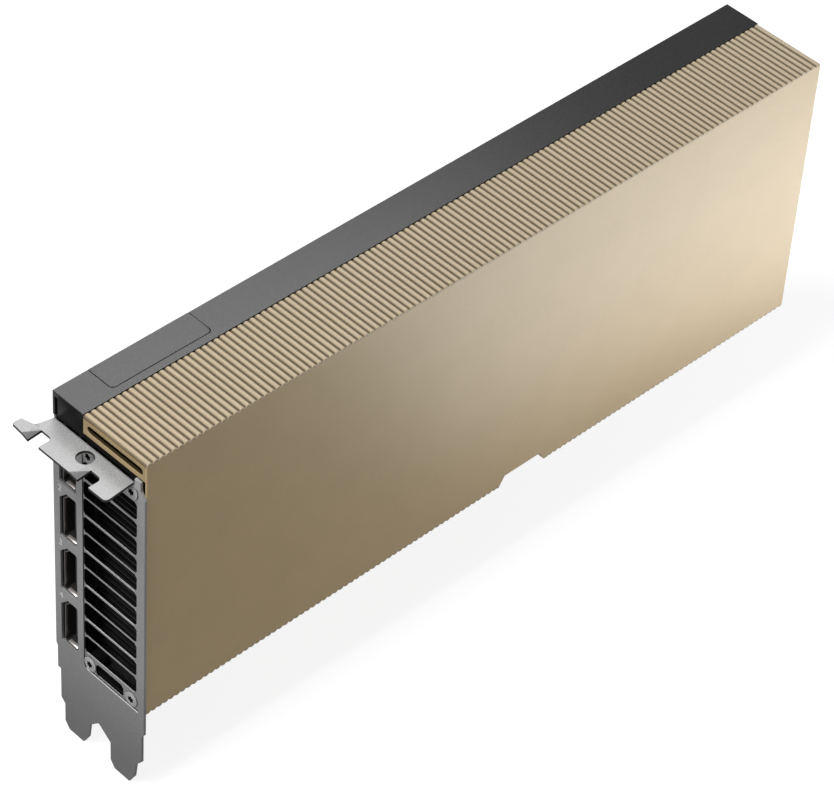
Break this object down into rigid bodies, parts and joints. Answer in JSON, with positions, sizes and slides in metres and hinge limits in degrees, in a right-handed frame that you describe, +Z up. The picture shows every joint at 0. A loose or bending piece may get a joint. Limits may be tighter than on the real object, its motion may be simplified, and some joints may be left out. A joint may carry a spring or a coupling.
{
  "type": "passive accelerator card",
  "caption": "Full-height, dual-slot passively cooled accelerator card with a gold ribbed cover, dark top rail, vented slot bracket and display sockets.",
  "frame": {"origin": "middle of the edge connector's key notch, half way through the board, level with the ends of the contacts", "axes": "+X along the card from the slot bracket to the air intake, -Y the component side with the ribbed cover, +Z up, away from the slot"},
  "size_m": [0.2779, 0.0435, 0.1286],
  "materials": {
    "gold_anodised": "satin gold anodised",
    "dark_anodised": "brushed dark anodised",
    "bracket_steel": "satin nickel plated",
    "screw_steel": "satin",
    "board_laminate": "satin solder mask",
    "contact_gold": "polished",
    "back_plate": "matt black anodised",
    "black_screw": "black oxide",
    "spacer_brass": "satin",
    "shell_steel": "satin",
    "socket_plastic": "satin",
    "frame_plastic": "matt",
    "fin_aluminium": "mill",
    "chamber_copper": "satin",
    "carrier_laminate": "satin",
    "silicon": "polished",
    "thermal_paste": "matt",
    "chip_black": "matt",
    "pad_grey": "matt",
    "choke_grey": "matt",
    "capacitor_can": "satin",
    "inlet_plastic": "satin",
    "clamp_steel": "satin"
  },
  "bodies": {
    "root": {"shroud": "gold_anodised", "top_rail": "dark_anodised", "link_hatch": "dark_anodised", "circuit_board": "board_laminate", "edge_contacts": "contact_gold", "back_cover": "back_plate", "standoffs": "spacer_brass", "back_screws": "black_screw", "slot_bracket": "bracket_steel", "bracket_screws": "screw_steel", "outlet_frame": "frame_plastic", "intake_frame": "frame_plastic", "vapour_chamber": "chamber_copper", "fin_stack": "fin_aluminium", "processor_carrier": "carrier_laminate", "processor_die": "silicon", "die_paste": "thermal_paste", "memory_front": "chip_black", "memory_pads_front": "pad_grey", "memory_back": "chip_black", "memory_pads_back": "pad_grey", "power_chokes": "choke_grey", "power_transistors": "chip_black", "capacitors": "capacitor_can", "inlet_housing": "inlet_plastic", "power_pins": "contact_gold", "sense_pins": "contact_gold", "backing_frame": "clamp_steel", "clamp_screws": "black_screw", "display_shell_1": "shell_steel", "display_core_1": "socket_plastic", "display_contacts_1": "contact_gold", "display_shell_2": "shell_steel", "display_core_2": "socket_plastic", "display_contacts_2": "contact_gold", "display_shell_3": "shell_steel", "display_core_3": "socket_plastic", "display_contacts_3": "contact_gold", "display_shell_4": "shell_steel", "display_core_4": "socket_plastic", "display_contacts_4": "contact_gold"}
  },
  "joints": []
}
